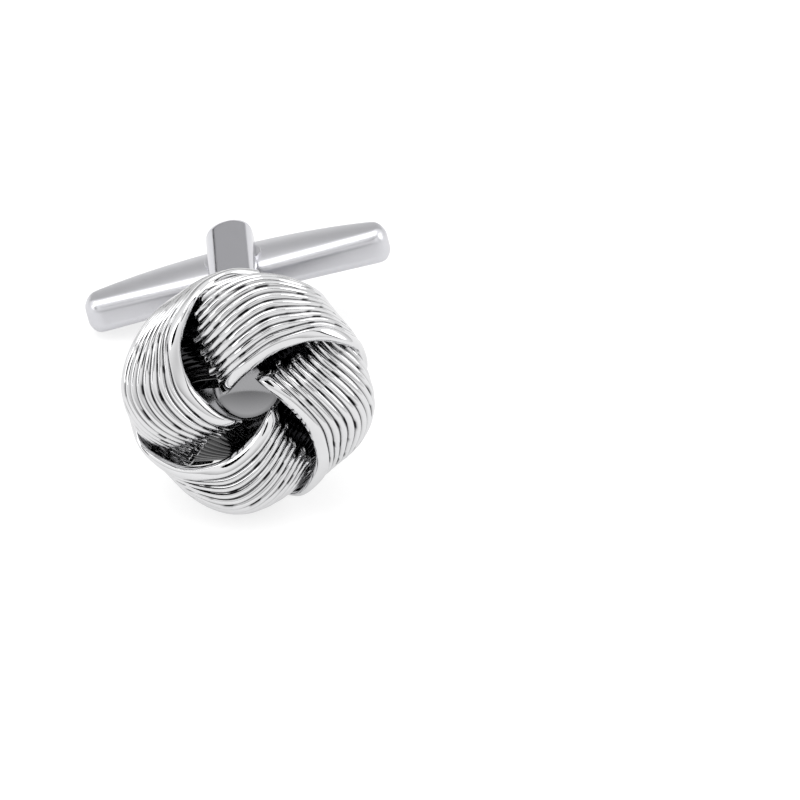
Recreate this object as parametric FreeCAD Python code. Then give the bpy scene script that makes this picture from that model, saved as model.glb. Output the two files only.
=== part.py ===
"""A love-knot cufflink lying at rest: four interlaced ribbed bands on a swivel-toggle post.

Every piece is drawn in the post's own frame (front of the knot along +Z, toggle along X, hinge
pin along Y, knot centre at zero) and then laid on its surface, knot and one toggle tip down.
Lengths are in millimetres and angles in degrees.
"""
import FreeCAD, Part
import math
import os

os.makedirs("parts", exist_ok=True)

# Knot head
KNOT_RADIUS = 7.55
KNOT_RISE = 3.8
BAND_COUNT = 4
RIB_COUNT = 12
BAND_BASE = 0.34
BAND_TOP = 0.10
RIB_RISE_share = 0.36
BEAD_WIDTH_share = 0.185
BEAD_RISE_share = 0.36
BEAD_REACH_share = 0.40
KNOT_PHASE = -10.3

# Band stations from the tucked inner end to the tail behind: for the bead, the crown and the
# plain edge, each a radius in shares of the knot radius, an angle, and a height in shares of the rise
BAND_STATION_shares = (
    ((0.64, 198, -0.45), (0.74, 174, -0.42), (0.88, 157, -0.72)),
    ((0.40, 180, 0.00), (0.56, 156, 0.02), (0.885, 140, -0.44)),
    ((0.25, 152, 0.48), (0.53, 128, 0.55), (0.88, 121, -0.10)),
    ((0.27, 98.5, 0.73), (0.66, 99, 0.92), (0.91, 102, -0.02)),
    ((0.45, 68, 0.80), (0.77, 77, 0.94), (0.97, 83, -0.12)),
    ((0.61, 53.5, 0.79), (0.89, 60, 0.70), (0.97, 64, -0.24)),
    ((0.81, 39, 0.67), (0.97, 45, 0.32), (0.95, 48, -0.50)),
    ((0.98, 25, 0.36), (0.985, 32, -0.10), (0.90, 35, -0.80)),
    ((1.02, 12, -0.02), (0.95, 18, -0.54), (0.81, 20, -1.04)),
    ((1.00, 1, -0.30), (0.90, 4, -0.78), (0.75, 4, -1.13)),
    ((0.93, -11, -0.58), (0.84, -10, -0.94), (0.735, -10, -1.17)),
)

# Back plate and the dished rivet stud that holds it to the post
PLATE_THICKNESS = 0.9
PLATE_INSET = 0.36
PLATE_EDGE_ROUND = 0.3
STUD_RADIUS = 2.25
STUD_HEIGHT = 4.0
STUD_LIP = 0.22
STUD_LIP_RISE = 0.08
STUD_DISH = 0.45
SHANK_RADIUS = 0.8
SHANK_CLEARANCE = 0.02

# Post: a fork with a round foot and two flat arms
ARM_WIDTH = 3.2
ARM_THICKNESS = 1.4
ARM_PAST_PIVOT = 3.7
ARM_EDGE_ROUND = 0.85
FORK_WEB = 3.3
FOOT_RADIUS = 3.2
FOOT_THICKNESS = 0.9
FOOT_SEAT = 0.3
FOOT_CLEARANCE = 0.02
SWING_CLEARANCE = 0.7

# Toggle bar, its pin and the cupped washer that stiffens its turning
TOGGLE_LENGTH = 20.8
TOGGLE_HEIGHT = 2.4
TOGGLE_INNER = 2.0
TOGGLE_CROWN = 3.1
TOGGLE_TIP_DEPTH = 2.6
TOGGLE_TIP_ROUND = 1.15
TOGGLE_EDGE_ROUND = 0.6
TOGGLE_SWELL = 0.3
BOSS_RADIUS = 1.95
BOSS_RISE = 0.12
PIN_RADIUS = 0.7
PIN_CLEARANCE = 0.03
SIDE_CLEARANCE = 0.05
WASHER_WALL = 0.7
WASHER_THICKNESS = 0.15
WASHER_CUP = 0.12
WASHER_CLEARANCE = 0.06

# Rest pose
TOGGLE_ROLL = 13.1
SETTLE_ROUNDS = 3

# Length by which a cutting tool passes the face that it cuts
OVERRUN = 1.0

# The back plate sits inside the bands' tails and level with them
TAIL_RADIUS = BAND_STATION_shares[-1][-1][0] * KNOT_RADIUS
TAIL_DEPTH = -BAND_STATION_shares[-1][-1][2] * KNOT_RISE
PLATE_RADIUS = TAIL_RADIUS - PLATE_INSET
PLATE_DEPTH = TAIL_DEPTH - PLATE_THICKNESS / 2

# Places along the post, worked out from the pieces between the knot and the pin
PLATE_BACK = -PLATE_DEPTH - PLATE_THICKNESS
FOOT_BACK = PLATE_BACK + FOOT_SEAT - FOOT_THICKNESS
WEB_BACK = FOOT_BACK - FORK_WEB
SWING_RADIUS = math.hypot(TOGGLE_LENGTH / 2, TOGGLE_INNER) + SWING_CLEARANCE
PIVOT_Z = WEB_BACK - SWING_RADIUS
ARM_INNER_Y = TOGGLE_HEIGHT / 2 + BOSS_RISE + SIDE_CLEARANCE
ARM_OUTER_Y = ARM_INNER_Y + ARM_THICKNESS

ORIGIN = FreeCAD.Vector(0, 0, 0)
ALONG_X = FreeCAD.Vector(1, 0, 0)
ALONG_Y = FreeCAD.Vector(0, 1, 0)
ALONG_Z = FreeCAD.Vector(0, 0, 1)


def point(x, y, z):
    """Short name for a point."""
    return FreeCAD.Vector(x, y, z)


def cylinder_z(radius, low, high):
    """Cylinder on the post's axis between two heights."""
    return Part.makeCylinder(radius, high - low, point(0, 0, low), ALONG_Z)


def cylinder_y(radius, low, high):
    """Cylinder on the hinge axis between two places along the pin."""
    return Part.makeCylinder(radius, high - low, point(0, low, PIVOT_Z), ALONG_Y)


def closed_face(corners):
    """Flat face with straight sides through the given corners."""
    return Part.Face(Part.makePolygon(list(corners) + [corners[0]]))


class SectionArc:
    """Arc across a band from the bead side, over the crown, to the plain edge."""

    def __init__(self, bead, crown, edge):
        curve = Part.Arc(bead, crown, edge).toShape().Curve
        self.centre = curve.Center
        self.radius = curve.Radius
        axis = (crown - bead).cross(edge - crown).normalize()
        self.start = bead - self.centre
        self.side = axis.cross(self.start)
        finish = edge - self.centre
        turn = math.atan2(finish.dot(self.side), finish.dot(self.start))
        self.sweep = turn % (2 * math.pi)
        self.length = self.sweep * self.radius

    def place(self, along, lift):
        """Point at a share of the arc, lifted out of it."""
        turn = self.sweep * along
        ray = self.start * math.cos(turn) + self.side * math.sin(turn)
        return self.centre + ray * ((self.radius + lift) / self.radius)

    def before(self, reach, lift):
        """Point ahead of the bead end of the arc by a reach."""
        return self.place(0, lift) - self.side * (reach / self.radius)


def bow(start, top, end):
    """Plain curved edge from start to end whose middle passes through top."""
    curve = Part.BezierCurve()
    curve.setPoles([start, top * 2 - (start + end) / 2, end])
    return curve.toShape()


def band_point(station):
    """Point of a band from its radius share, angle and height share."""
    radius_share, angle, rise_share = station
    turn = math.radians(angle)
    radius = radius_share * KNOT_RADIUS
    return point(radius * math.cos(turn), radius * math.sin(turn), rise_share * KNOT_RISE)


def band_section(station):
    """Closed profile of a band at one station: smooth underside, bead and ribs on top."""
    arc = SectionArc(*[band_point(place) for place in station])
    low_bead = arc.place(0, -BAND_BASE)
    low_middle = arc.place(1 / 2, -BAND_BASE)
    low_edge = arc.place(1, -BAND_BASE)
    bead_width = BEAD_WIDTH_share * arc.length
    bead_rise = BAND_TOP + BEAD_RISE_share * bead_width
    bead_nose = arc.before(BEAD_REACH_share * bead_width, 0)
    bead_top = arc.place(BEAD_WIDTH_share / 2, bead_rise)
    edges = [
        bow(low_edge, low_middle, low_bead),
        bow(low_bead, bead_nose, arc.place(0, BAND_TOP)),
        bow(arc.place(0, BAND_TOP), bead_top, arc.place(BEAD_WIDTH_share, BAND_TOP)),
    ]
    rib_share = (1 - BEAD_WIDTH_share) / RIB_COUNT
    rib_rise = BAND_TOP + RIB_RISE_share * rib_share * arc.length
    for rib in range(RIB_COUNT):
        first_share = BEAD_WIDTH_share + rib * rib_share
        last_share = first_share + rib_share
        crest = arc.place((first_share + last_share) / 2, rib_rise)
        edges.append(bow(arc.place(first_share, BAND_TOP), crest, arc.place(last_share, BAND_TOP)))
    edges.append(Part.makeLine(arc.place(1, BAND_TOP), low_edge))
    return Part.Wire(edges)


def knot_band(index):
    """One ribbed band, turned to its place in the knot."""
    sections = [band_section(station) for station in BAND_STATION_shares]
    band = Part.makeLoft(sections, True, False)
    band.rotate(ORIGIN, ALONG_Z, KNOT_PHASE + index * 360 / BAND_COUNT)
    return band


def back_plate():
    """Round plate behind the bands, bored for the stud's shank and recessed for the post's foot."""
    plate = cylinder_z(PLATE_RADIUS, PLATE_BACK, -PLATE_DEPTH)
    plate = plate.makeFillet(PLATE_EDGE_ROUND, [edge for edge in plate.Edges if edge.Closed])
    plate = plate.cut(cylinder_z(FOOT_RADIUS + FOOT_CLEARANCE, PLATE_BACK - OVERRUN, PLATE_BACK + FOOT_SEAT))
    return plate.cut(cylinder_z(SHANK_RADIUS + SHANK_CLEARANCE, PLATE_BACK - OVERRUN, -PLATE_DEPTH + OVERRUN))


def centre_stud():
    """Polished rivet stud whose dished, lipped head shows through the middle of the knot."""
    head_top = STUD_HEIGHT - PLATE_DEPTH
    dish_radius = STUD_RADIUS - STUD_LIP
    rim_in = point(dish_radius, 0, head_top)
    rim_out = point(STUD_RADIUS, 0, head_top)
    floor = point(0, 0, head_top - STUD_DISH)
    shank_top = point(SHANK_RADIUS, 0, -PLATE_DEPTH)
    shank_end = point(SHANK_RADIUS, 0, WEB_BACK)
    dish_curve = (dish_radius ** 2 + STUD_DISH ** 2) / (2 * STUD_DISH)
    bend = math.asin(dish_radius / dish_curve) / 2
    on_dish = floor + point(dish_curve * math.sin(bend), 0, dish_curve * (1 - math.cos(bend)))
    lip_mid = (rim_in + rim_out) / 2 + point(0, 0, STUD_LIP_RISE)
    edges = [
        Part.Arc(floor, on_dish, rim_in).toShape(),
        Part.Arc(rim_in, lip_mid, rim_out).toShape(),
        Part.makeLine(rim_out, point(STUD_RADIUS, 0, -PLATE_DEPTH)),
        Part.makeLine(point(STUD_RADIUS, 0, -PLATE_DEPTH), shank_top),
        Part.makeLine(shank_top, shank_end),
        Part.makeLine(shank_end, point(0, 0, WEB_BACK)),
        Part.makeLine(point(0, 0, WEB_BACK), floor),
    ]
    return Part.Face(Part.Wire(edges)).revolve(ORIGIN, ALONG_Z, 360)


def fork_arm(side):
    """One flat arm with a half-round end and softened outer edges; side is 1 or -1."""
    half = ARM_WIDTH / 2
    end_z = PIVOT_Z - ARM_PAST_PIVOT
    round_z = end_z + half
    low_y = ARM_INNER_Y if side > 0 else -ARM_OUTER_Y
    start = point(-half, low_y, FOOT_BACK)
    turn_in = point(-half, low_y, round_z)
    turn_out = point(half, low_y, round_z)
    far = point(half, low_y, FOOT_BACK)
    outline = Part.Wire([
        Part.makeLine(start, turn_in),
        Part.Arc(turn_in, point(0, low_y, end_z), turn_out).toShape(),
        Part.makeLine(turn_out, far),
        Part.makeLine(far, start),
    ])
    arm = Part.Face(outline).extrude(point(0, ARM_THICKNESS, 0))
    outer_y = side * ARM_OUTER_Y
    rims = [
        edge for edge in arm.Edges
        if abs(edge.BoundBox.YMin - outer_y) < PIN_CLEARANCE and edge.BoundBox.YLength < PIN_CLEARANCE
        and edge.BoundBox.ZMin < FOOT_BACK - PIN_CLEARANCE
    ]
    return arm.makeFillet(ARM_EDGE_ROUND, rims)


def post_fork():
    """Foot, web and two arms in one piece, bored for the pin and the stud's shank."""
    foot_front = PLATE_BACK + FOOT_SEAT
    foot = cylinder_z(FOOT_RADIUS, FOOT_BACK, foot_front)
    web_corner = point(-ARM_WIDTH / 2, -ARM_INNER_Y, WEB_BACK)
    web = Part.makeBox(ARM_WIDTH, 2 * ARM_INNER_Y, FORK_WEB, web_corner)
    fork = foot.fuse([web, fork_arm(1), fork_arm(-1)])
    fork = fork.cut(cylinder_y(PIN_RADIUS, -ARM_OUTER_Y - OVERRUN, ARM_OUTER_Y + OVERRUN))
    fork = fork.cut(cylinder_z(SHANK_RADIUS + SHANK_CLEARANCE, WEB_BACK - OVERRUN, foot_front + OVERRUN))
    return fork.removeSplitter()


def hinge_pin():
    """Rivet pin, flush with the outer faces of the arms."""
    return cylinder_y(PIN_RADIUS, -ARM_OUTER_Y, ARM_OUTER_Y)


def washer_seat():
    """Radius and depth of the counterbore that holds the cupped washer."""
    radius = PIN_RADIUS + 2 * WASHER_CLEARANCE + WASHER_WALL
    depth = WASHER_CUP + WASHER_THICKNESS + WASHER_CLEARANCE
    return radius, depth


def spring_washer():
    """Thin cupped washer round the pin, its wide edge on the lower arm."""
    inner = PIN_RADIUS + WASHER_CLEARANCE
    outer = inner + WASHER_WALL
    base = -ARM_INNER_Y
    profile = closed_face([
        point(outer, base, PIVOT_Z),
        point(outer, base + WASHER_THICKNESS, PIVOT_Z),
        point(inner, base + WASHER_THICKNESS + WASHER_CUP, PIVOT_Z),
        point(inner, base + WASHER_CUP, PIVOT_Z),
    ])
    return profile.revolve(point(0, 0, PIVOT_Z), ALONG_Y, 360)


def toggle_swell():
    """Lens along the bar that leaves its upper and lower faces slightly swollen."""
    half_depth = (TOGGLE_INNER + TOGGLE_CROWN) / 2
    middle_z = PIVOT_Z + (TOGGLE_INNER - TOGGLE_CROWN) / 2
    bend = (half_depth ** 2 + TOGGLE_SWELL ** 2) / (2 * TOGGLE_SWELL)
    axis_y = bend - TOGGLE_HEIGHT / 2
    start_x = -TOGGLE_LENGTH / 2 - OVERRUN
    drums = [
        Part.makeCylinder(bend, -2 * start_x, point(start_x, side * axis_y, middle_z), ALONG_X)
        for side in (1, -1)
    ]
    return drums[0].common(drums[1])


def toggle_bar():
    """Bar with a flat inner face and a bowed back, bossed and bored for the pin."""
    half = TOGGLE_LENGTH / 2
    low = -TOGGLE_HEIGHT / 2
    inner_z = PIVOT_Z + TOGGLE_INNER
    tip_z = inner_z - TOGGLE_TIP_DEPTH
    corners = [point(-half, low, inner_z), point(half, low, inner_z)]
    tips = [point(half, low, tip_z), point(-half, low, tip_z)]
    back = Part.Arc(tips[0], point(0, low, PIVOT_Z - TOGGLE_CROWN), tips[1])
    outline = Part.Wire([
        Part.makeLine(corners[0], corners[1]),
        Part.makeLine(corners[1], tips[0]),
        back.toShape(),
        Part.makeLine(tips[1], corners[0]),
    ])
    bar = Part.Face(outline).extrude(point(0, TOGGLE_HEIGHT, 0))
    upright = [edge for edge in bar.Edges if edge.BoundBox.ZLength < PIN_CLEARANCE
               and edge.BoundBox.XLength < PIN_CLEARANCE]
    bar = bar.makeFillet(TOGGLE_TIP_ROUND, upright).common(toggle_swell())
    level = [edge for edge in bar.Edges if edge.BoundBox.YLength < TOGGLE_HEIGHT / 2]
    bar = bar.makeFillet(TOGGLE_EDGE_ROUND, level)
    boss_y = TOGGLE_HEIGHT / 2 + BOSS_RISE
    bar = bar.fuse(cylinder_y(BOSS_RADIUS, -boss_y, boss_y))
    bar = bar.cut(cylinder_y(PIN_RADIUS + PIN_CLEARANCE, -boss_y - OVERRUN, boss_y + OVERRUN))
    seat_radius, seat_depth = washer_seat()
    return bar.cut(cylinder_y(seat_radius, -boss_y - OVERRUN, -ARM_INNER_Y + seat_depth))


def first_tilt():
    """Rough angle by which the knot's front looks up when knot and toggle tip share a surface."""
    roll = math.radians(TOGGLE_ROLL)
    tip_drop = math.sin(roll) * TOGGLE_LENGTH / 2 + math.cos(roll) * TOGGLE_HEIGHT / 2
    reach = math.hypot(tip_drop, PIVOT_Z)
    return math.degrees(math.asin(KNOT_RADIUS / reach) - math.atan2(tip_drop, -PIVOT_Z))


def rest_rotation(tilt):
    """Turn from the post's own frame to the resting one for a given tilt."""
    roll = FreeCAD.Rotation(ALONG_Z, TOGGLE_ROLL)
    stand = FreeCAD.Rotation(ALONG_X, 90)
    return FreeCAD.Rotation(ALONG_X, -tilt).multiply(stand).multiply(roll)


def turned_box(shape, turn):
    """Tight box of a shape after a turn about the knot's centre."""
    return shape.transformed(FreeCAD.Placement(ORIGIN, turn).toMatrix(), True).optimalBoundingBox(False)


def rest_placement(shapes, toggle):
    """Placement that lays the assembly down on knot and toggle tip, centred, lowest point at zero."""
    tilt = first_tilt()
    for _ in range(SETTLE_ROUNDS):
        turn = rest_rotation(tilt)
        knot_low = min(turned_box(shape, turn).ZMin for shape in shapes)
        tip_low = turned_box(toggle, turn).ZMin
        tilt += math.degrees(math.atan2(tip_low - knot_low, -PIVOT_Z))
    turn = rest_rotation(tilt)
    box = turned_box(Part.Compound(shapes + [toggle]), turn)
    shift = point(-box.Center.x, -box.Center.y, -box.ZMin)
    return FreeCAD.Placement(shift, turn)


nodes = {"knot_band_%d" % (index + 1): knot_band(index) for index in range(BAND_COUNT)}
nodes["back_plate"] = back_plate()
nodes["centre_stud"] = centre_stud()
nodes["post_fork"] = post_fork()
nodes["hinge_pin"] = hinge_pin()
nodes["spring_washer"] = spring_washer()
nodes["toggle_bar"] = toggle_bar()

fixed = [shape for name, shape in nodes.items() if name != "toggle_bar"]
rest = rest_placement(fixed, nodes["toggle_bar"])
for name, shape in nodes.items():
    shape.transformed(rest.toMatrix(), True).exportStep("parts/%s.step" % name)
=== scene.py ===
"""A love-knot cufflink lying on a pale floor: ribbed bands, riveted head, forked post and toggle.

Every piece is shaped in the post's own frame (front of the knot along +Z, toggle along X, hinge
pin along Y, knot centre at zero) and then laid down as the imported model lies. Lengths are metres.
"""
import logging
import math
from dataclasses import dataclass, field
from enum import Enum
from typing import Any, Callable, Dict, List, Optional, Sequence, Tuple

import bmesh
import bpy
import numpy as np
from mathutils import Matrix, Vector


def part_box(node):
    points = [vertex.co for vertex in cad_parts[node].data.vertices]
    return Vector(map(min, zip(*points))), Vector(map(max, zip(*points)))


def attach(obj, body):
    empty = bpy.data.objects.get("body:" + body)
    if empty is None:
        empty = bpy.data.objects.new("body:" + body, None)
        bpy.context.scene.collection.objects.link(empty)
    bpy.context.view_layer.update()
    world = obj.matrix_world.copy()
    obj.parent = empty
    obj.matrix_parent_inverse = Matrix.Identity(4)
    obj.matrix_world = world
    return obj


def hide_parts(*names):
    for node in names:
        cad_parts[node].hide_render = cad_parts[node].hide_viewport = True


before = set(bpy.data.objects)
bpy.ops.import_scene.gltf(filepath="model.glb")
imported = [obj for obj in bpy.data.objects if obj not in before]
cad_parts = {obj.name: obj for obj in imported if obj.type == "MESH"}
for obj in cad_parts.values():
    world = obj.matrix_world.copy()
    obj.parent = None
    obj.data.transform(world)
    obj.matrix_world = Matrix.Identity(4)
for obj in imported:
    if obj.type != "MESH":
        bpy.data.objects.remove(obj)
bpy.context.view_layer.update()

LOG = logging.getLogger("cufflink")
PIVOT = -0.0200865618
NOISE_MIDDLE = 0.5
Station = Tuple[Tuple[float, float, float], ...]


class Body(Enum):
    """Bodies that the pieces ride on."""

    HEAD = "knot_and_post"
    TOGGLE = "toggle"


class Slot(Enum):
    """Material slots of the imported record."""

    PLATING = "bright_plating"
    PIN = "pin_steel"


class Grain(Enum):
    """Way in which a metal finish is worked."""

    POLISHED = "polished"
    DRAWN = "drawn"


class Wire:
    """A shader socket that can stand in sums."""

    def __init__(self, sheet: "Sheet", socket: bpy.types.NodeSocket) -> None:
        """Keep the socket and the sheet that it belongs to."""
        self.sheet = sheet
        self.socket = socket

    def _sum(self, operation: str, first: Any, second: Any) -> "Wire":
        """Add a Math node.

        Args:
            operation: The Math node's operation.
            first: Number or wire for the first input.
            second: Number or wire for the second input.

        Returns:
            The wire of the result.
        """
        return self.sheet.node("ShaderNodeMath", {"operation": operation}, {0: first, 1: second})

    def __add__(self, other: Any) -> "Wire":
        """Sum."""
        return self._sum("ADD", self, other)

    def __sub__(self, other: Any) -> "Wire":
        """Difference."""
        return self._sum("SUBTRACT", self, other)

    def __mul__(self, other: Any) -> "Wire":
        """Product."""
        return self._sum("MULTIPLY", self, other)

    def __pow__(self, other: Any) -> "Wire":
        """Power."""
        return self._sum("POWER", self, other)

    def most(self, other: Any) -> "Wire":
        """Larger of two values."""
        return self._sum("MAXIMUM", self, other)

    def least(self, other: Any) -> "Wire":
        """Smaller of two values."""
        return self._sum("MINIMUM", self, other)


class Sheet:
    """The node sheet of one material or of the world."""

    def __init__(self, owner: Any) -> None:
        """Start an empty sheet on a material or world."""
        owner.use_nodes = True
        self.tree = owner.node_tree
        self.tree.nodes.clear()

    def node(self, kind: str, settings: Dict[str, Any], inputs: Dict[Any, Any], output: Any = 0) -> Wire:
        """Add one node.

        Args:
            kind: Node type.
            settings: Properties to set first.
            inputs: Values or wires by socket name or number.
            output: Name or number of the output to hand back.

        Returns:
            The wire of that output.
        """
        made = self.tree.nodes.new(kind)
        for key, value in settings.items():
            setattr(made, key, value)
        for key, value in inputs.items():
            if isinstance(value, Wire):
                self.tree.links.new(value.socket, made.inputs[key])
            else:
                made.inputs[key].default_value = value
        socket = made.outputs[output] if len(made.outputs) else None
        return Wire(self, socket)


@dataclass(frozen=True)
class MetalFinish:
    """A plated metal: colour, gloss, grain, a random tone wander and, on the bands, painted shade in
    grooves, recesses and undersides.

    Attributes:
        name: Material name.
        colour: Reflected colour of the metal itself.
        shade_and_wander_colour: Colour of the painted shade in grooves, recesses and undersides, and the
            colour that the random wander pulls toward.
        roughness: Gloss of the metal.
        roughness_swing: How far the gloss wanders over the surface.
        grain: Polished, or drawn along the post.
        grain_scale: Waves of the fine grain in a metre.
        grain_depth: Strength of the grain's relief.
        has_painted_shade: Whether the piece carries the per-point painted-shade attribute.
        cloud_scale: Waves of the slow wander in a metre.
        cloud_detail: Octaves of the slow wander.
        cloud_tint: How far the wander darkens the metal.
        grain_detail: Octaves of the fine grain.
        grain_relief: Height of the grain.
        drawn_stretch: Grain frequency along the post, as a share, where the metal is drawn.
        least_roughness: Gloss that the wander never passes.
    """

    name: str
    colour: Tuple[float, float, float, float]
    shade_and_wander_colour: Tuple[float, float, float, float]
    roughness: float
    roughness_swing: float
    grain: Grain
    grain_scale: float
    grain_depth: float
    has_painted_shade: bool = False
    cloud_scale: float = 420.0
    cloud_detail: float = 3.0
    cloud_tint: float = 0.12
    grain_detail: float = 4.0
    grain_relief: float = 0.00002
    drawn_stretch: float = 0.06
    least_roughness: float = 0.02

    def material(self) -> bpy.types.Material:
        """Make the material.

        Returns:
            The new material.
        """
        made = bpy.data.materials.new(self.name)
        sheet = Sheet(made)
        place = sheet.node("ShaderNodeTexCoord", {}, {}, "Object")
        stretch = (1.0, self.drawn_stretch if self.grain is Grain.DRAWN else 1.0, 1.0)
        along = sheet.node("ShaderNodeMapping", {}, {"Vector": place, "Scale": stretch})
        cloud = sheet.node(
            "ShaderNodeTexNoise",
            {},
            {"Vector": place, "Scale": self.cloud_scale, "Detail": self.cloud_detail},
            "Fac",
        )
        fine = sheet.node(
            "ShaderNodeTexNoise",
            {},
            {"Vector": along, "Scale": self.grain_scale, "Detail": self.grain_detail},
            "Fac",
        )
        slow_swing = (cloud - NOISE_MIDDLE) * self.roughness_swing
        fine_swing = (fine - NOISE_MIDDLE) * self.roughness_swing
        gloss = slow_swing + fine_swing + self.roughness
        bump = sheet.node(
            "ShaderNodeBump",
            {},
            {"Strength": self.grain_depth, "Distance": self.grain_relief, "Height": fine},
            "Normal",
        )
        tint = self._tint(sheet, cloud)
        shader = sheet.node(
            "ShaderNodeBsdfPrincipled",
            {},
            {
                "Base Color": tint,
                "Metallic": 1.0,
                "Roughness": gloss.most(self.least_roughness),
                "Normal": bump,
            },
        )
        sheet.node("ShaderNodeOutputMaterial", {}, {"Surface": shader})
        return made

    def _tint(self, sheet: Sheet, cloud: Wire) -> Wire:
        """Colour of the metal, with a random tone wander and, where the piece has it, painted shade.

        Args:
            sheet: The material's sheet.
            cloud: Slow wander over the surface.

        Returns:
            The colour.
        """
        share = cloud * self.cloud_tint
        # Painted shade: the per-point shade attribute darkens grooves, recess floors, finger gaps and
        # undersides, and paints dark reflection dashes.
        if self.has_painted_shade:
            painted_shade = sheet.node("ShaderNodeAttribute", {"attribute_name": "painted_shade"}, {}, "Fac")
            share = painted_shade + share
        return sheet.node(
            "ShaderNodeMix",
            {"data_type": "RGBA"},
            {"Factor": share, "A": self.colour, "B": self.shade_and_wander_colour},
            "Result",
        )


# Band plating; its near-black second colour is painted shade and painted dark reflection dashes.
BAND_PLATE = MetalFinish(
    name="band_plating",
    colour=(0.84, 0.84, 0.85, 1),
    shade_and_wander_colour=(0.02, 0.02, 0.022, 1),
    roughness=0.045,
    roughness_swing=0.03,
    grain=Grain.POLISHED,
    grain_scale=9000.0,
    grain_depth=0.03,
    has_painted_shade=True,
)
# Same plating as the bands, made much darker: painted shade for the head sunk in the knot's middle.
SHADED_HEAD_PLATE = MetalFinish(
    name="head_plating_painted_shade",
    colour=(0.36, 0.36, 0.37, 1),
    shade_and_wander_colour=(0.28, 0.28, 0.29, 1),
    roughness=0.10,
    roughness_swing=0.04,
    grain=Grain.POLISHED,
    grain_scale=9000.0,
    grain_depth=0.03,
)
POST_PLATE = MetalFinish(
    name="post_plating",
    colour=(0.66, 0.66, 0.70, 1),
    shade_and_wander_colour=(0.54, 0.54, 0.58, 1),
    roughness=0.13,
    roughness_swing=0.04,
    grain=Grain.DRAWN,
    grain_scale=12000.0,
    grain_depth=0.06,
)
TOGGLE_PLATE = MetalFinish(
    name="toggle_plating",
    colour=(0.72, 0.72, 0.75, 1),
    shade_and_wander_colour=(0.64, 0.64, 0.67, 1),
    roughness=0.32,
    roughness_swing=0.04,
    grain=Grain.POLISHED,
    grain_scale=7000.0,
    grain_depth=0.010,
)
PIN_PLATE = MetalFinish(
    name="pin_steel",
    colour=(0.62, 0.62, 0.65, 1),
    shade_and_wander_colour=(0.45, 0.45, 0.48, 1),
    roughness=0.24,
    roughness_swing=0.06,
    grain=Grain.POLISHED,
    grain_scale=9000.0,
    grain_depth=0.05,
)


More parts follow.
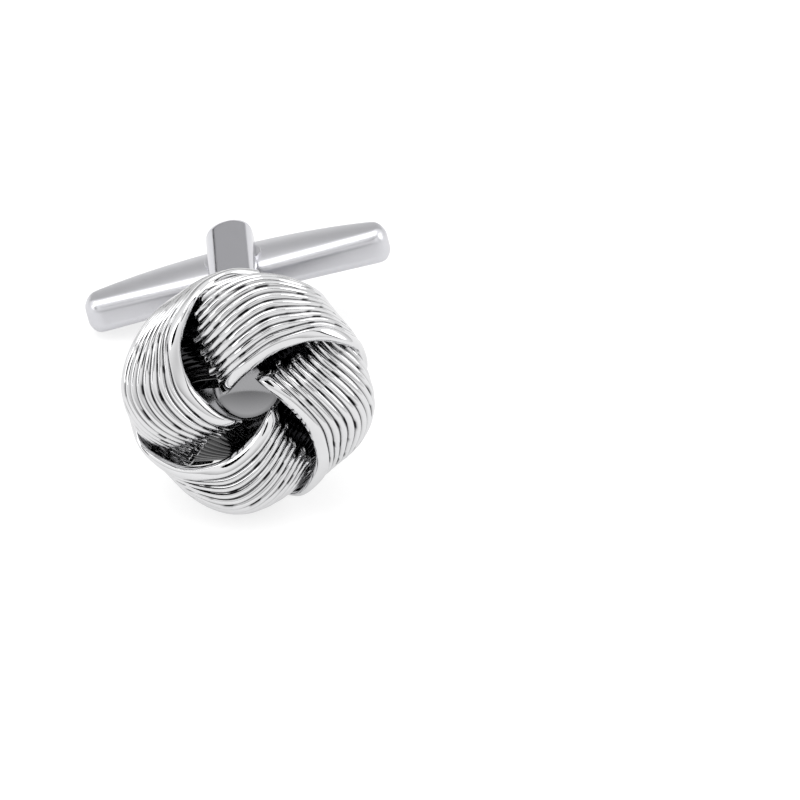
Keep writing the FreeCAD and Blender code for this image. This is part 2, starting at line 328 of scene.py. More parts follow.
class Bench:
    """Hand tools for one piece: a primitive is added, parts of it are picked and shaped."""

    merge_gap: float = 1e-7
    wrap_angle: float = 50.0
    smooth_angle: float = 40.0
    round_profile: float = 0.5
    face_weight: int = 100

    def __init__(self, name: str) -> None:
        """Take the name of the piece to be made."""
        self.name = name
        self.piece: bpy.types.Object = None

    @staticmethod
    def clear() -> None:
        """Leave edit mode and select nothing."""
        if bpy.context.object and bpy.context.object.mode != "OBJECT":
            bpy.ops.object.mode_set(mode="OBJECT")
        bpy.ops.object.select_all(action="DESELECT")

    def _take(self) -> None:
        """Name the primitive just added and put its place in its mesh."""
        self.piece = bpy.context.object
        self.piece.name = self.name
        self.piece.data.name = self.name
        bpy.ops.object.transform_apply(location=True, rotation=True, scale=True)
        bpy.ops.object.mode_set(mode="EDIT")
        bpy.ops.mesh.select_all(action="DESELECT")

    def block(self, low: Vector, high: Vector) -> None:
        """Add a block between two corners.

        Args:
            low: Lowest corner.
            high: Highest corner.
        """
        self.clear()
        bpy.ops.mesh.primitive_cube_add(size=1, location=(low + high) / 2, scale=high - low)
        self._take()

    def drum(self, radius: float, low: Vector, high: Vector, sides: int) -> None:
        """Add a cylinder along Z or Y between the middles of its two ends.

        Args:
            radius: Its radius.
            low: Middle of the lower end.
            high: Middle of the upper end.
            sides: Number of sides.
        """
        self.clear()
        axis = high - low
        turn = (0, 0, 0) if abs(axis.z) > abs(axis.y) else (math.radians(-90), 0, 0)
        bpy.ops.mesh.primitive_cylinder_add(
            vertices=sides, radius=radius, depth=axis.length, location=(low + high) / 2, rotation=turn
        )
        self._take()

    def wrap(
        self, sections: Sequence[Sequence[Vector]], painted_shades: Optional[Sequence[Sequence[float]]] = None
    ) -> None:
        """Add a flat grid, wrap it round closed sections, and close its seam and both ends.

        Args:
            sections: Points of each section in order, as many in each.
            painted_shades: Painted shade of each point, in grooves, recesses and undersides, where the
                piece has it.
        """
        self.clear()
        across = len(sections[0]) + 1
        bpy.ops.mesh.primitive_grid_add(
            x_subdivisions=across - 1, y_subdivisions=len(sections) - 1, size=1
        )
        self._take()
        self.clear()
        mesh = self.piece.data
        # Painted shade of each point, stored for the material to darken the metal.
        shade_layer = mesh.attributes.new("painted_shade", "FLOAT", "POINT") if painted_shades else None
        for row, section in enumerate(sections):
            for column in range(across):
                number = row * across + column
                mesh.vertices[number].co = section[column % len(section)]
                if shade_layer:
                    shade_layer.data[number].value = painted_shades[row][column % len(section)]
        self.piece.select_set(True)
        bpy.context.view_layer.objects.active = self.piece
        bpy.ops.object.mode_set(mode="EDIT")
        bpy.ops.mesh.select_all(action="SELECT")
        bpy.ops.mesh.remove_doubles(threshold=self.merge_gap)
        bpy.ops.mesh.select_all(action="DESELECT")
        bpy.ops.mesh.select_mode(type="EDGE")
        bpy.ops.mesh.select_non_manifold(extend=False)
        bpy.ops.mesh.fill_holes(sides=0)
        bpy.ops.mesh.select_all(action="SELECT")
        bpy.ops.mesh.normals_make_consistent(inside=False)
        bpy.ops.object.mode_set(mode="OBJECT")
        bpy.ops.object.shade_smooth_by_angle(angle=math.radians(self.wrap_angle))

    def _mesh(self) -> bmesh.types.BMesh:
        """The mesh in edit mode, with nothing picked."""
        bpy.ops.mesh.select_all(action="DESELECT")
        return bmesh.from_edit_mesh(self.piece.data)

    def pick_edges(self, test: Callable[[Vector, Vector], bool]) -> None:
        """Select some edges.

        Args:
            test: Says of an edge's two ends whether it is wanted.
        """
        bpy.ops.mesh.select_mode(type="EDGE")
        mesh = self._mesh()
        for edge in mesh.edges:
            edge.select = test(edge.verts[0].co, edge.verts[1].co)
        mesh.select_flush_mode()
        bmesh.update_edit_mesh(self.piece.data)

    def pick_faces(self, test: Callable[[Vector, Vector], bool]) -> None:
        """Select some faces.

        Args:
            test: Says of a face's middle and normal whether it is wanted.
        """
        bpy.ops.mesh.select_mode(type="FACE")
        mesh = self._mesh()
        for face in mesh.faces:
            face.select = test(face.calc_center_median(), face.normal)
        mesh.select_flush_mode()
        bmesh.update_edit_mesh(self.piece.data)

    def bevel(self, width: float, segments: int) -> None:
        """Round the picked edges.

        Args:
            width: Width of the rounding.
            segments: Facets across it.
        """
        bpy.ops.mesh.bevel(
            offset=width,
            segments=segments,
            profile=self.round_profile,
            affect="EDGES",
            clamp_overlap=False,
        )

    def apply(self, kind: str, settings: Dict[str, Any]) -> None:
        """Add a modifier to the piece and apply it.

        Args:
            kind: Modifier type.
            settings: Properties to set on it.
        """
        self.clear()
        modifier = self.piece.modifiers.new(kind.lower(), kind)
        for key, value in settings.items():
            setattr(modifier, key, value)
        bpy.context.view_layer.objects.active = self.piece
        bpy.ops.object.modifier_apply(modifier=modifier.name)

    def carve(self, tool: "Bench") -> None:
        """Cut another bench's piece out of this one and discard it.

        Args:
            tool: Bench with the piece to cut away.
        """
        tool.clear()
        self.apply("BOOLEAN", {"operation": "DIFFERENCE", "solver": "EXACT", "object": tool.piece})
        bpy.data.objects.remove(tool.piece)

    def add(self, other: "Bench") -> None:
        """Join another bench's piece into this one.

        Args:
            other: Bench with the piece to join.
        """
        self.clear()
        other.piece.select_set(True)
        self.piece.select_set(True)
        bpy.context.view_layer.objects.active = self.piece
        bpy.ops.object.join()

    def smooth(self) -> None:
        """Shade smooth across gentle edges, with broad faces kept flat."""
        self.clear()
        self.piece.select_set(True)
        bpy.context.view_layer.objects.active = self.piece
        bpy.ops.object.shade_smooth_by_angle(angle=math.radians(self.smooth_angle))
        self.apply("WEIGHTED_NORMAL", {"weight": self.face_weight, "keep_sharp": True})

    def lay(self, rest: Matrix, finish: MetalFinish, slot: Slot, body: Body, nodes: Sequence[str]) -> None:
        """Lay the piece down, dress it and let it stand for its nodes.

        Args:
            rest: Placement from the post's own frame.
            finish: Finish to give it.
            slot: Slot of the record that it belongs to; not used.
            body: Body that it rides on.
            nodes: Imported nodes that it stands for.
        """
        self.clear()
        self.piece.data.transform(rest)
        self.piece.data.materials.clear()
        self.piece.data.materials.append(finish.material())
        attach(self.piece, body.value)
        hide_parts(*nodes)
        LOG.info("%s: %d faces", self.name, len(self.piece.data.polygons))


@dataclass
class Post:
    """Forked post: a foot, a solid stem and two flat arms that hold the hinge pin."""

    arm_width: float = 0.0032
    arm_thickness: float = 0.0014
    arm_past_pivot: float = 0.0037
    edge_round: float = 0.00085
    foot_radius: float = 0.0032
    foot_thickness: float = 0.0009
    foot_seat: float = 0.0003
    foot_round: float = 0.00012
    stem_length: float = 0.0033
    plate_back: float = -0.004896
    pivot: float = PIVOT
    arm_inner: float = 0.00137
    pin_radius: float = 0.0007
    pin_chamfer: float = 0.00001
    overrun: float = 0.001
    end_share: float = 0.999
    end_steps: int = 20
    edge_steps: int = 8
    foot_steps: int = 4
    foot_sides: int = 96
    pin_steps: int = 2
    pin_sides: int = 64

    @property
    def arm_outer(self) -> float:
        """Outer face of an arm, from the middle."""
        return self.arm_inner + self.arm_thickness

    @property
    def foot_back(self) -> float:
        """Back face of the foot."""
        return self.plate_back + self.foot_seat - self.foot_thickness

    def build_fork(self) -> Bench:
        """Shape foot, stem and arms.

        Returns:
            The bench with the finished fork.
        """
        fork = Bench("forked_post")
        half = self.arm_width / 2
        end = self.pivot - self.arm_past_pivot
        fork.block(Vector((-half, -self.arm_outer, end)), Vector((half, self.arm_outer, self.foot_back)))
        near = self.pin_chamfer
        fork.pick_edges(
            lambda a, b: max(abs(a.z - end), abs(b.z - end)) < near and abs(a.x - b.x) < near
        )
        fork.bevel(half * self.end_share, self.end_steps)
        fork.pick_edges(
            lambda a, b: abs(a.y - b.y) < near
            and abs(abs(a.y) - self.arm_outer) < near
            and min(a.z, b.z) < self.foot_back - near
        )
        fork.bevel(self.edge_round, self.edge_steps)
        slot = Bench("slot")
        slot.block(
            Vector((-half - self.overrun, -self.arm_inner, end - self.overrun)),
            Vector((half + self.overrun, self.arm_inner, self.foot_back - self.stem_length)),
        )
        fork.carve(slot)
        bore = Bench("bore")
        reach = self.arm_outer + self.overrun
        ends = [Vector((0, side * reach, self.pivot)) for side in (-1, 1)]
        bore.drum(self.pin_radius, ends[0], ends[1], self.pin_sides)
        fork.carve(bore)
        foot = Bench("foot")
        front = self.plate_back + self.foot_seat
        foot.drum(self.foot_radius, Vector((0, 0, self.foot_back)), Vector((0, 0, front)), self.foot_sides)
        foot.pick_edges(lambda a, b: abs(a.z - b.z) < near)
        foot.bevel(self.foot_round, self.foot_steps)
        fork.add(foot)
        fork.smooth()
        return fork

    def build_pin(self) -> Bench:
        """Shape the flush hinge pin.

        Returns:
            The bench with the finished pin.
        """
        pin = Bench("flush_pin")
        ends = [Vector((0, side * self.arm_outer, self.pivot)) for side in (-1, 1)]
        pin.drum(self.pin_radius, ends[0], ends[1], self.pin_sides)
        pin.pick_edges(lambda a, b: abs(a.y - b.y) < self.pin_chamfer)
        pin.bevel(self.pin_chamfer, self.pin_steps)
        pin.smooth()
        return pin


@dataclass
class Toggle:
    """Toggle bar with a flat inner side, a bowed back and a low boss round the pin."""

    length: float = 0.0208
    height: float = 0.0024
    inner: float = 0.002
    crown: float = 0.0031
    tip_depth: float = 0.0026
    tip_round: float = 0.00115
    edge_round: float = 0.00074
    swell: float = 0.0003
    boss_radius: float = 0.00195
    boss_rise: float = 0.00012
    boss_round: float = 0.00005
    pivot: float = PIVOT
    rows: int = 96
    corner_steps: int = 10
    face_steps: int = 12
    boss_steps: int = 3
    boss_sides: int = 96

    @staticmethod
    def _drop(gap: float, radius: float) -> float:
        """How far a rounded corner falls away at a gap from its end.

        Args:
            gap: Distance from the end.
            radius: Radius of the corner.

        Returns:
            The fall.
        """
        past = max(0.0, radius - gap)
        return radius - math.sqrt(radius ** 2 - past ** 2)

    def _sides(self, x: float) -> Tuple[float, float]:
        """Heights of the inner side and of the bowed back at a place along the bar.

        Args:
            x: Place along the bar.

        Returns:
            Inner side and back.
        """
        half = self.length / 2
        rise = self.crown + self.inner - self.tip_depth
        bow = (half ** 2 + rise ** 2) / (2 * rise)
        fall = self._drop(half - abs(x), self.tip_round)
        back = self.pivot - self.crown + bow - math.sqrt(bow ** 2 - x ** 2)
        return self.pivot + self.inner - fall, back + fall

    def _section(self, x: float) -> List[Vector]:
        """Closed section of the bar: rounded corners and slightly swollen upper and lower faces.

        Args:
            x: Place along the bar.

        Returns:
            Its points in order.
        """
        inner, back = self._sides(x)
        middle = (inner + back) / 2
        deep = (inner - back) / 2
        tall = self.height / 2 - self._drop(self.length / 2 - abs(x), self.edge_round)
        corner = min(self.edge_round, deep, tall)
        full = (self.inner + self.crown) / 2
        places = []
        for side in (1, -1):
            for step in range(self.corner_steps + 1):
                turn = math.pi / 2 * step / self.corner_steps
                across = deep - corner + corner * math.cos(turn)
                places.append((side * across, side * (tall - corner + corner * math.sin(turn))))
            for step in range(1, self.face_steps):
                share = 1 - 2 * step / self.face_steps
                places.append((side * share * (deep - corner), side * tall))
            for step in range(self.corner_steps + 1):
                turn = math.pi / 2 * (1 + step / self.corner_steps)
                across = corner - deep + corner * math.cos(turn)
                places.append((side * across, side * (tall - corner + corner * math.sin(turn))))
        sink = self.swell / full ** 2
        return [Vector((x, y * (1 - sink * z ** 2 / tall), middle + z)) for z, y in places]

    def build(self) -> Bench:
        """Shape the bar and its boss.

        Returns:
            The bench with the finished bar.
        """
        bar = Bench("toggle")
        turns = [math.pi / 2 * (2 * row / self.rows - 1) for row in range(self.rows + 1)]
        bar.wrap([self._section(self.length / 2 * math.sin(turn)) for turn in turns])
        boss = Bench("boss")
        top = self.height / 2 + self.boss_rise
        ends = [Vector((0, side * top, self.pivot)) for side in (-1, 1)]
        boss.drum(self.boss_radius, ends[0], ends[1], self.boss_sides)
        boss.pick_edges(lambda a, b: abs(a.y - b.y) < self.boss_round)
        boss.bevel(self.boss_round, self.boss_steps)
        boss.smooth()
        bar.add(boss)
        return bar


@dataclass
class Head:
    """Back plate and the dished rivet stud in the middle of the knot."""

    plate_radius: float = 0.00518925
    plate_depth: float = 0.003996
    plate_thickness: float = 0.0009
    plate_round: float = 0.0003
    stud_radius: float = 0.00225
    stud_height: float = 0.004
    stud_lip: float = 0.00022
    stud_dish: float = 0.00045
    lip_round: float = 0.00007
    dish_rings: int = 9
    dish_middle_share: float = 0.5
    flat_least: float = 0.99
    plate_steps: int = 8
    plate_sides: int = 160
    stud_steps: int = 4
    stud_sides: int = 128

    def build_plate(self) -> Bench:
        """Shape the back plate.

        Returns:
            The bench with the finished plate.
        """
        plate = Bench("back_disc")
        back = -self.plate_depth - self.plate_thickness
        front = Vector((0, 0, -self.plate_depth))
        plate.drum(self.plate_radius, Vector((0, 0, back)), front, self.plate_sides)
        plate.pick_edges(lambda a, b: abs(a.z - b.z) < self.lip_round)
        plate.bevel(self.plate_round, self.plate_steps)
        plate.smooth()
        return plate

    def build_stud(self) -> Bench:
        """Shape the stud with its lip and dish.

        Returns:
            The bench with the finished stud.
        """
        stud = Bench("rivet_stud")
        top = self.stud_height - self.plate_depth
        foot = Vector((0, 0, -self.plate_depth))
        stud.drum(self.stud_radius, foot, Vector((0, 0, top)), self.stud_sides)
        stud.pick_edges(lambda a, b: abs(a.z - top) < self.lip_round and abs(b.z - top) < self.lip_round)
        stud.bevel(self.lip_round, self.stud_steps)
        stud.pick_faces(
            lambda middle, normal: normal.z > self.flat_least and middle.z > top - self.lip_round
        )
        bpy.ops.mesh.inset(thickness=self.stud_lip - self.lip_round, depth=0)
        dish = self.stud_radius - self.stud_lip
        ball = (dish ** 2 + self.stud_dish ** 2) / (2 * self.stud_dish)
        step = dish / (self.dish_rings + self.dish_middle_share)
        depth = [math.sqrt(ball ** 2 - (dish - ring * step) ** 2) for ring in range(self.dish_rings + 1)]
        for ring in range(self.dish_rings):
            bpy.ops.mesh.inset(thickness=step, depth=depth[ring] - depth[ring + 1])
        stud.smooth()
        return stud


@dataclass(frozen=True)
class ProfilePoint:
    """A point of a band's outline.

    Attributes:
        share: Share along the arc from the bead to the plain edge.
        lift: Fixed height over the arc.
        lift_share: Further height in shares of the arc's length.
        depth: Painted shade at the point, from 0 to 1: grooves, recess floors, finger gaps and undersides.
        rib: Number of the rib it belongs to, the bead being 0, or None.
        aside: How far it lies from the rib's middle, from 0 to 1.
    """

    share: float
    lift: float
    lift_share: float
    depth: float
    rib: Optional[int]
    aside: float = 0.0


class BandArc:
    """Arc across a band from the bead, over the crown, to the plain edge."""

    def __init__(self, marks: Sequence[Vector]) -> None:
        """Find the arc.

        Args:
            marks: Points on the bead, the crown and the plain edge.
        """
        bead, crown, edge = marks
        first = bead - crown
        second = edge - crown
        axis = first.cross(second)
        spread = axis.cross(first) * second.length_squared + second.cross(axis) * first.length_squared
        self.centre = crown + spread / (2 * axis.length_squared)
        self.start = bead - self.centre
        self.radius = self.start.length
        self.side = (crown - bead).cross(edge - crown).normalized().cross(self.start)
        finish = edge - self.centre
        self.sweep = math.atan2(finish.dot(self.side), finish.dot(self.start)) % (2 * math.pi)
        self.length = self.sweep * self.radius

    def place(self, share: float, lift: float) -> Vector:
        """Point at a share of the arc, lifted out of it; a negative share lies ahead of the bead.

        Args:
            share: Share of the arc.
            lift: Height over it.

        Returns:
            The point.
        """
        height = (self.radius + lift) / self.radius
        if share < 0:
            return self.centre + self.start * height + self.side * (share * self.length / self.radius)
        turn = self.sweep * share
        return self.centre + (self.start * math.cos(turn) + self.side * math.sin(turn)) * height


@dataclass
class Knot:
    """Four interlaced bands of round ribs, each with a broad bead along its inner edge."""

    radius: float = 0.00755
    rise: float = 0.0038
    count: int = 4
    ribs: int = 12
    base: float = 0.00034
    top: float = 0.0001
    rib_rise_share: float = 0.36
    bead_width_share: float = 0.125
    bead_rise_share: float = 0.40
    bead_reach_share: float = 0.45
    bead_crest_share: float = 0.30
    phase: float = -10.3
    rows: int = 130
    tip_rows: int = 160
    tip_station: int = 2
    tip_before: float = 0.0046
    tip_after: float = 0.0026
    tip_length: float = 0.00012
    tip_round: float = 0.00022
    tip_stagger: float = 0.00034
    tip_slants: Tuple[float, ...] = (-0.0042, 0.0052, 0.0034, 0.0030)
    tip_slant_shares: Tuple[float, ...] = (0.60, 0.32, 0.50, 0.50)
    tip_turn: float = 2.4
    # Shape of the painted shade in grooves, on recess floors and in finger gaps.
    groove_shade_power: int = 8
    bead_groove_shade_power: int = 10
    finger_power: int = 4
    floor_shade_power: int = 3
    gap_shade_gain: float = 1.6
    # Painted dark reflection dashes along the rib grooves.
    painted_dash_turns: Tuple[float, float] = (1460.0, 3300.0)
    painted_dash_shift: float = 2.4
    painted_dash_gain: float = 3.0
    painted_dash_side_gain: float = 4.0
    painted_dash_least: float = 0.95
    painted_dash_side: float = 0.52
    finger_length: float = 0.0012
    finger_gap: float = 0.00030
    recess: float = 0.00026
    recess_rib_share: float = 0.30
    floor_share: float = 0.18
    rib_steps: int = 10
    bead_steps: int = 8
    under_steps: int = 10
    # Painted shade on the undersides.
    underside_painted_shade: float = 0.4
    stations: Tuple[Station, ...] = (
        ((0.64, 198, -0.45), (0.74, 174, -0.42), (0.88, 157, -0.72)),
        ((0.40, 180, 0.00), (0.58, 155, 0.05), (0.94, 138, -0.24)),
        ((0.24, 153, 0.48), (0.54, 128, 0.57), (0.96, 119, 0.06)),
        ((0.31, 100.5, 0.74), (0.66, 99, 0.92), (0.975, 102, 0.02)),
        ((0.50, 71, 0.80), (0.77, 77, 0.94), (0.97, 83, -0.12)),
        ((0.645, 57, 0.79), (0.89, 60, 0.70), (0.97, 64, -0.24)),
        ((0.85, 40.5, 0.67), (0.97, 45, 0.32), (0.95, 48, -0.50)),
        ((1.00, 24, 0.37), (0.985, 32, -0.10), (0.90, 35, -0.80)),
        ((1.01, 13.5, -0.02), (0.95, 18, -0.54), (0.81, 20, -1.04)),
        ((1.00, 1, -0.30), (0.90, 4, -0.78), (0.75, 4, -1.13)),
        ((0.93, -11, -0.58), (0.84, -10, -0.94), (0.735, -10, -1.17)),
    )

    def _clock(self) -> np.ndarray:
        """Length along the crown up to each station."""
        steps = np.linalg.norm(np.diff(self._places(1), axis=0), axis=1)
        return np.concatenate([[0.0], np.cumsum(steps)])

    def _times(self) -> np.ndarray:
        """Places of the rows along a band, close together where the ribs end.

        Returns:
            Lengths along the crown.
        """
        clock = self._clock()
        tip = clock[self.tip_station]
        even = np.linspace(0.0, clock[-1], self.rows + 1)
        even = even[(even < tip - self.tip_before) | (even > tip + self.tip_after)]
        close = np.linspace(tip - self.tip_before, tip + self.tip_after, self.tip_rows)
        return np.sort(np.concatenate([even, close]))

    def _tip(self, past: float) -> float:
        """Share of a rib's height that is left at a length past its rounded end.

        Args:
            past: Length past the tip; negative beyond the end.

        Returns:
            1 on the rib, 0 on the recessed floor beyond it.
        """
        if past >= 0:
            return 1.0
        if past <= -self.tip_length:
            return 0.0
        return math.sqrt(1 - (past / self.tip_length) ** 2)

    def _places(self, line: int) -> np.ndarray:
        """Points of one guide line at the stations.

        Args:
            line: 0 for the bead, 1 for the crown, 2 for the plain edge.

        Returns:
            Its points.
        """
        rows = []
        for station in self.stations:
            radius_share, angle, rise_share = station[line]
            turn = math.radians(angle)
            radius = radius_share * self.radius
            rows.append((radius * math.cos(turn), radius * math.sin(turn), rise_share * self.rise))
        return np.array(rows)

    @staticmethod
    def _spline(clock: np.ndarray, points: np.ndarray, times: np.ndarray) -> np.ndarray:
        """Smooth cubic line through points.

        Args:
            clock: Time at each point.
            points: The points.
            times: Times to read it at.

        Returns:
            A point for each time.
        """
        gaps = np.diff(clock)
        size = len(clock)
        matrix = np.eye(size)
        right = np.zeros((size, 3))
        for row in range(1, size - 1):
            matrix[row, row - 1] = gaps[row - 1]
            matrix[row, row] = 2 * (gaps[row - 1] + gaps[row])
            matrix[row, row + 1] = gaps[row]
            after = (points[row + 1] - points[row]) / gaps[row]
            before = (points[row] - points[row - 1]) / gaps[row - 1]
            right[row] = 6 * (after - before)
        bend = np.linalg.solve(matrix, right)
        cell = np.clip(np.searchsorted(clock, times, side="right") - 1, 0, size - 2)
        gap = gaps[cell][:, None]
        early = (clock[cell + 1] - times)[:, None]
        late = (times - clock[cell])[:, None]
        curve = (bend[cell] * early ** 3 + bend[cell + 1] * late ** 3) / (6 * gap)
        curve += (points[cell] / gap - bend[cell] * gap / 6) * early
        curve += (points[cell + 1] / gap - bend[cell + 1] * gap / 6) * late
        return curve

    def _bead(self) -> List[ProfilePoint]:
        """Round outline of the bead, from the underside over its nose and crest to the first groove.

        Returns:
            Its points in order.
        """
        width = self.bead_width_share
        reach = -self.bead_reach_share * width
        rise = self.bead_rise_share * width
        crest = self.bead_crest_share * width
        corners = np.array([
            (0.0, -self.base, 0.0),
            (reach, -self.base, 0.0),
            (reach, (self.top - self.base) / 2, rise / 2),
            (reach, self.top, rise),
            (crest, self.top, rise),
            (width, self.top, rise),
            (width, self.top, 0.0),
        ])
        outline = []
        for first in (0, 2, 4):
            start, corner, end = corners[first:first + 3]
            for step in range(self.bead_steps):
                part = step / self.bead_steps
                share, lift, lift_share = (
                    start * (1 - part) ** 2 + corner * 2 * part * (1 - part) + end * part ** 2
                )
                aside = abs(2 * (share - reach) / (width - reach) - 1)
                # Painted shade grows where the bead runs down into the first groove.
                depth = part ** self.bead_groove_shade_power if first == 4 else 0.0
                outline.append(ProfilePoint(share, lift, lift_share, depth, 0, aside))
        return outline

    def _profile(self) -> List[ProfilePoint]:
        """Closed outline of a band: underside, nose of the bead, bead, ribs and plain edge.

        Returns:
            Its points in order.
        """
        outline = []
        for step in range(self.under_steps):
            share = 1 - step / self.under_steps
            # The underside carries painted shade.
            outline.append(ProfilePoint(share, -self.base, 0.0, self.underside_painted_shade, None))
        outline.extend(self._bead())
        pitch = (1 - self.bead_width_share) / self.ribs
        for rib in range(self.ribs):
            for step in range(self.rib_steps):
                share = (1 - math.cos(math.pi * step / self.rib_steps)) / 2
                lift = self.rib_rise_share * pitch * 4 * share * (1 - share)
                aside = abs(2 * share - 1)
                place = self.bead_width_share + (rib + share) * pitch
                # Painted shade, strongest at each groove's valley.
                groove_shade = aside ** self.groove_shade_power
                outline.append(ProfilePoint(place, self.top, lift, groove_shade, rib + 1, aside))
        # The plain edge's underside point carries painted shade too.
        outline.append(ProfilePoint(1.0, self.top, 0.0, self.underside_painted_shade, None))
        return outline

    def build(self, index: int) -> Bench:
        """Shape one band from a flat grid that is wrapped round its outline and closed.

        Args:
            index: Which of the bands.

        Returns:
            The bench with the finished band.
        """
        outline = self._profile()
        times = self._times()
        tip = self._clock()[self.tip_station]
        guides = [self._spline(self._clock(), self._places(line), times) for line in range(3)]
        sections = []
        painted_shades = []
        for row, time in enumerate(times):
            arc = BandArc([Vector(guide[row]) for guide in guides])
            placed = [self._place(arc, mark, time - tip, index) for mark in outline]
            sections.append([place for place, _ in placed])
            painted_shades.append([depth for _, depth in placed])
        bench = Bench("ribbed_band_%d" % (index + 1))
        bench.wrap(sections, painted_shades)
        turn = math.radians(self.phase + 360 * index / self.count)
        bench.piece.data.transform(Matrix.Rotation(turn, 4, "Z"))
        return bench

    def _painted_dash(self, mark: ProfilePoint, along: float) -> float:
        """Painted dark reflection dashes that lie here and there along the grooves between ribs.

        Args:
            mark: The outline point.
            along: Length along the band.

        Returns:
            How dark the painted dash makes the point, from 0 to 1.
        """
        if mark.rib == 0:
            return 0.0
        shift = self.painted_dash_shift * mark.rib
        slow, quick = self.painted_dash_turns
        wave = math.sin(slow * along + shift) + math.sin(quick * along - shift * mark.rib)
        strong = min(1.0, max(0.0, wave - self.painted_dash_least) * self.painted_dash_gain)
        near = min(1.0, max(0.0, mark.aside - self.painted_dash_side) * self.painted_dash_side_gain)
        return strong * near

    def _place(self, arc: BandArc, mark: ProfilePoint, past: float, index: int) -> Tuple[Vector, float]:
        """Place one outline point on a row.

        Args:
            arc: The row's arc.
            mark: The outline point.
            past: Length of the row past the line where the ribs end.
            index: Which of the bands.

        Returns:
            The place and its painted shade.
        """
        lift = mark.lift + mark.lift_share * arc.length
        depth = mark.depth
        share = mark.share
        if mark.rib is None:
            return arc.place(share, lift), depth
        # Painted dark reflection dashes along the groove sides.
        depth = max(depth, self._painted_dash(mark, past))
        past += self.tip_slants[index] * max(0.0, share - self.tip_slant_shares[index])
        past -= self.tip_stagger * math.sin(self.tip_turn * mark.rib)
        past -= self.tip_round * (1 - math.sqrt(max(0.0, 1 - mark.aside ** 2)))
        left = self._tip(past)
        if mark.rib == 0:
            share = max(share, 0.0) + min(share, 0.0) * left
            lift = -self.base + (lift + self.base) * (self.floor_share + (1 - self.floor_share) * left)
            # Painted shade on the bead's lowered floor past its end.
            depth = max(depth, (1 - left) ** self.floor_shade_power)
        else:
            split = max(0.0, 1 - max(0.0, past) / self.finger_length) * mark.aside ** self.finger_power
            floor = -self.recess + self.recess_rib_share * mark.lift_share * arc.length
            lift = floor + (lift - self.finger_gap * split - floor) * left
            # Painted shade on the recess floor beyond the rib tips and in the gaps between the fingers.
            gap_shade = 1 - self.gap_shade_gain * (1 - split)
            depth = max(depth, (1 - left) ** self.floor_shade_power, gap_shade)
        return arc.place(share, lift), min(1.0, depth)


@dataclass(frozen=True)
class Card:
    """A card that only the metal sees.

    Attributes:
        name: Name of its plane.
        azimuth: Degrees round from the camera's side.
        elevation: Degrees up.
        distance: Metres from the middle.
        width: Width.
        height: Height.
        shade: Its brightness, where 0 is black.
    """

    name: str
    azimuth: float
    elevation: float
    distance: float
    width: float
    height: float
    shade: float


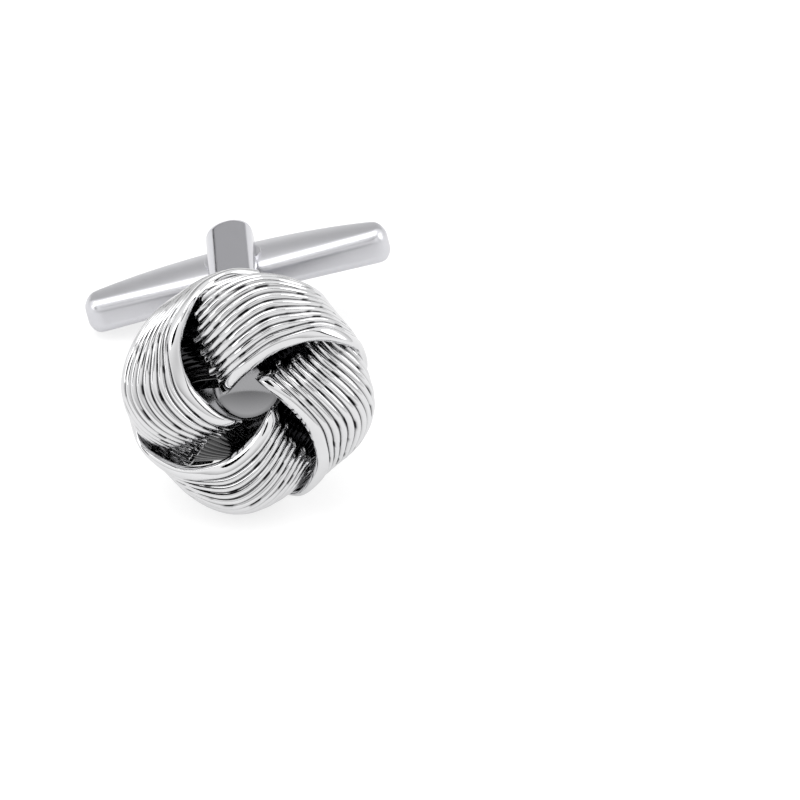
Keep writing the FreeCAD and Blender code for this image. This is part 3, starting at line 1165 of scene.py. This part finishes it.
@dataclass
class Studio:
    """Floor, lamps, dark cards and camera."""

    floor_size: float = 3.0
    floor_grey: float = 0.36
    floor_seen: float = 0.70
    floor_mirrored: float = 0.50
    sky_low: float = 0.38
    sky_rise: float = 0.95
    sky_side: float = 0.45
    card_sides: int = 64
    clip: Tuple[float, float] = (0.01, 10.0)
    camera_distance: float = 0.4
    camera_elevation: float = 35.65
    camera_azimuth: float = -3.3
    pixels_per_metre: float = 15620.0
    frame_pixels: float = 800.0
    knot_pixel: Tuple[float, float] = (247.5, 388.0)
    sensor: float = 36.0
    cards: Tuple[Card, ...] = (
        Card("camera_card", 0.0, 54.0, 0.60, 0.30, 0.16, 0.0),
        Card("left_card", -62.0, 32.0, 0.60, 0.26, 0.28, 0.0),
        Card("over_strip", 0.0, 78.0, 0.60, 0.90, 0.12, 0.0),
        Card("right_strip", 70.0, 30.0, 0.60, 0.08, 0.60, 0.0),
        Card("back_strip", 180.0, 16.0, 0.60, 0.90, 0.055, 0.0),
        Card("low_left_strip", -163.0, 1.5, 0.60, 0.20, 0.05, 0.0),
    )
    lamps: Tuple[Tuple[str, Tuple[float, float, float], float, float], ...] = (
        ("top_lamp", (-0.15, 0.15, 0.80), 1.00, 3.0),
        ("left_lamp", (-0.80, -0.20, 0.45), 0.60, 1.2),
        ("right_lamp", (0.80, 0.10, 0.45), 0.60, 1.2),
    )

    def build_floor(self) -> None:
        """Lay the floor: white to the eye and in the metal, with the soft shadow kept."""
        Bench.clear()
        bpy.ops.mesh.primitive_plane_add(size=self.floor_size, location=(0, 0, 0))
        floor = bpy.context.object
        floor.name = "floor"
        made = bpy.data.materials.new("floor_white")
        sheet = Sheet(made)
        seen = sheet.node("ShaderNodeLightPath", {}, {}, "Is Camera Ray")
        glossy = sheet.node("ShaderNodeLightPath", {}, {}, "Is Glossy Ray")
        through = sheet.node("ShaderNodeLightPath", {}, {}, "Is Transmission Ray")
        grey = (self.floor_grey, self.floor_grey, self.floor_grey, 1)
        cloth = sheet.node("ShaderNodeBsdfDiffuse", {}, {"Color": grey})
        level = seen * self.floor_seen + (glossy + through) * self.floor_mirrored
        glow = sheet.node("ShaderNodeEmission", {}, {"Color": (1, 1, 1, 1), "Strength": level})
        both = sheet.node("ShaderNodeAddShader", {}, {0: cloth, 1: glow})
        sheet.node("ShaderNodeOutputMaterial", {}, {"Surface": both})
        floor.data.materials.append(made)

    def build_light(self) -> None:
        """Hang the lamps and set the world."""
        for name, place, size, power in self.lamps:
            bpy.ops.object.light_add(type="AREA", location=place)
            lamp = bpy.context.object
            lamp.name = name
            lamp.data.shape = "DISK"
            lamp.data.size = size
            lamp.data.energy = power
            lamp.rotation_euler = (-Vector(place)).to_track_quat("-Z", "Y").to_euler()
        world = bpy.data.worlds.new("studio")
        bpy.context.scene.world = world
        sheet = Sheet(world)
        ray = sheet.node("ShaderNodeTexCoord", {}, {}, "Generated")
        side = sheet.node("ShaderNodeSeparateXYZ", {}, {"Vector": ray}, "X") ** 2.0
        height = sheet.node("ShaderNodeSeparateXYZ", {}, {"Vector": ray}, "Z")
        level = height.most(0.0) * self.sky_rise + side * self.sky_side + self.sky_low
        sky = sheet.node("ShaderNodeBackground", {}, {"Color": (1, 1, 1, 1), "Strength": level.least(1.0)})
        white = sheet.node("ShaderNodeBackground", {}, {"Color": (1, 1, 1, 1), "Strength": 1.0})
        seen = sheet.node("ShaderNodeLightPath", {}, {}, "Is Camera Ray")
        both = sheet.node("ShaderNodeMixShader", {}, {0: seen, 1: sky, 2: white})
        sheet.node("ShaderNodeOutputWorld", {}, {"Surface": both})

    def build_cards(self) -> None:
        """Hang the dark cards that only the metal sees."""
        for plan in self.cards:
            made = bpy.data.materials.new(plan.name)
            sheet = Sheet(made)
            glow = sheet.node("ShaderNodeEmission", {}, {"Color": (1, 1, 1, 1), "Strength": plan.shade})
            sheet.node("ShaderNodeOutputMaterial", {}, {"Surface": glow})
            turn = math.radians(plan.azimuth)
            lift = math.radians(plan.elevation)
            flat = math.cos(lift)
            way = Vector((math.sin(turn) * flat, -math.cos(turn) * flat, math.sin(lift)))
            Bench.clear()
            bpy.ops.mesh.primitive_circle_add(vertices=self.card_sides, radius=0.5, fill_type="NGON")
            card = bpy.context.object
            card.name = plan.name
            card.data.transform(Matrix.Diagonal((plan.width, plan.height, 1, 1)))
            card.data.transform(way.to_track_quat("Z", "Y").to_matrix().to_4x4())
            card.data.transform(Matrix.Translation(way * plan.distance))
            card.data.materials.append(made)
            card.visible_camera = False
            card.visible_diffuse = False
            card.visible_shadow = False

    def build_camera(self, knot: Vector) -> None:
        """Set the camera so that the knot's middle falls on its pixel.

        Args:
            knot: Middle of the knot at rest.
        """
        tilt = math.radians(self.camera_elevation)
        turn = math.radians(self.camera_azimuth)
        flat = math.cos(tilt)
        back = Vector((math.sin(turn) * flat, -math.cos(turn) * flat, math.sin(tilt)))
        look = (-back).to_track_quat("-Z", "Y")
        right = look @ Vector((1, 0, 0))
        up = look @ Vector((0, 1, 0))
        middle = self.frame_pixels / 2
        shift = right * (middle - self.knot_pixel[0]) - up * (middle - self.knot_pixel[1])
        bpy.ops.object.camera_add()
        camera = bpy.context.object
        camera.name = "camera"
        camera.location = knot + shift / self.pixels_per_metre + back * self.camera_distance
        camera.rotation_mode = "QUATERNION"
        camera.rotation_quaternion = look
        camera.data.sensor_width = self.sensor
        camera.data.lens = self.pixels_per_metre * self.camera_distance * self.sensor / self.frame_pixels
        camera.data.clip_start, camera.data.clip_end = self.clip
        bpy.context.scene.camera = camera


@dataclass
class Cufflink:
    """The whole link and the way it lies."""

    roll: float = 13.1
    tilt: float = 13.148355
    post: Post = field(default_factory=Post)
    toggle: Toggle = field(default_factory=Toggle)
    head: Head = field(default_factory=Head)
    knot: Knot = field(default_factory=Knot)

    def rest(self) -> Matrix:
        """Placement from the post's own frame to the resting model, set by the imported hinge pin.

        Returns:
            The placement.
        """
        turn = Matrix.Rotation(math.radians(90 - self.tilt), 4, "X") @ Matrix.Rotation(
            math.radians(self.roll), 4, "Z"
        )
        low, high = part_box("hinge_pin")
        shift = (low + high) / 2 - turn @ Vector((0, 0, self.post.pivot))
        return Matrix.Translation(shift) @ turn

    def build(self) -> None:
        """Build and dress every piece."""
        rest = self.rest()
        for index in range(self.knot.count):
            node = "knot_band_%d" % (index + 1)
            self.knot.build(index).lay(rest, BAND_PLATE, Slot.PLATING, Body.HEAD, [node])
        self.head.build_plate().lay(rest, SHADED_HEAD_PLATE, Slot.PLATING, Body.HEAD, ["back_plate"])
        self.head.build_stud().lay(rest, SHADED_HEAD_PLATE, Slot.PLATING, Body.HEAD, ["centre_stud"])
        self.post.build_fork().lay(rest, POST_PLATE, Slot.PLATING, Body.HEAD, ["post_fork"])
        self.post.build_pin().lay(rest, POST_PLATE, Slot.PIN, Body.HEAD, ["hinge_pin"])
        self.toggle.build().lay(rest, TOGGLE_PLATE, Slot.PLATING, Body.TOGGLE, ["toggle_bar"])
        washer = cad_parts["spring_washer"]
        washer.data.materials.clear()
        washer.data.materials.append(PIN_PLATE.material())


def main() -> None:
    """Build the link and its studio."""
    logging.basicConfig(level=logging.INFO, format="%(name)s %(message)s")
    bpy.context.scene.view_settings.view_transform = "Standard"
    link = Cufflink()
    link.build()
    studio = Studio()
    studio.build_floor()
    studio.build_light()
    studio.build_cards()
    studio.build_camera(link.rest().translation)


if __name__ == "__main__":
    main()
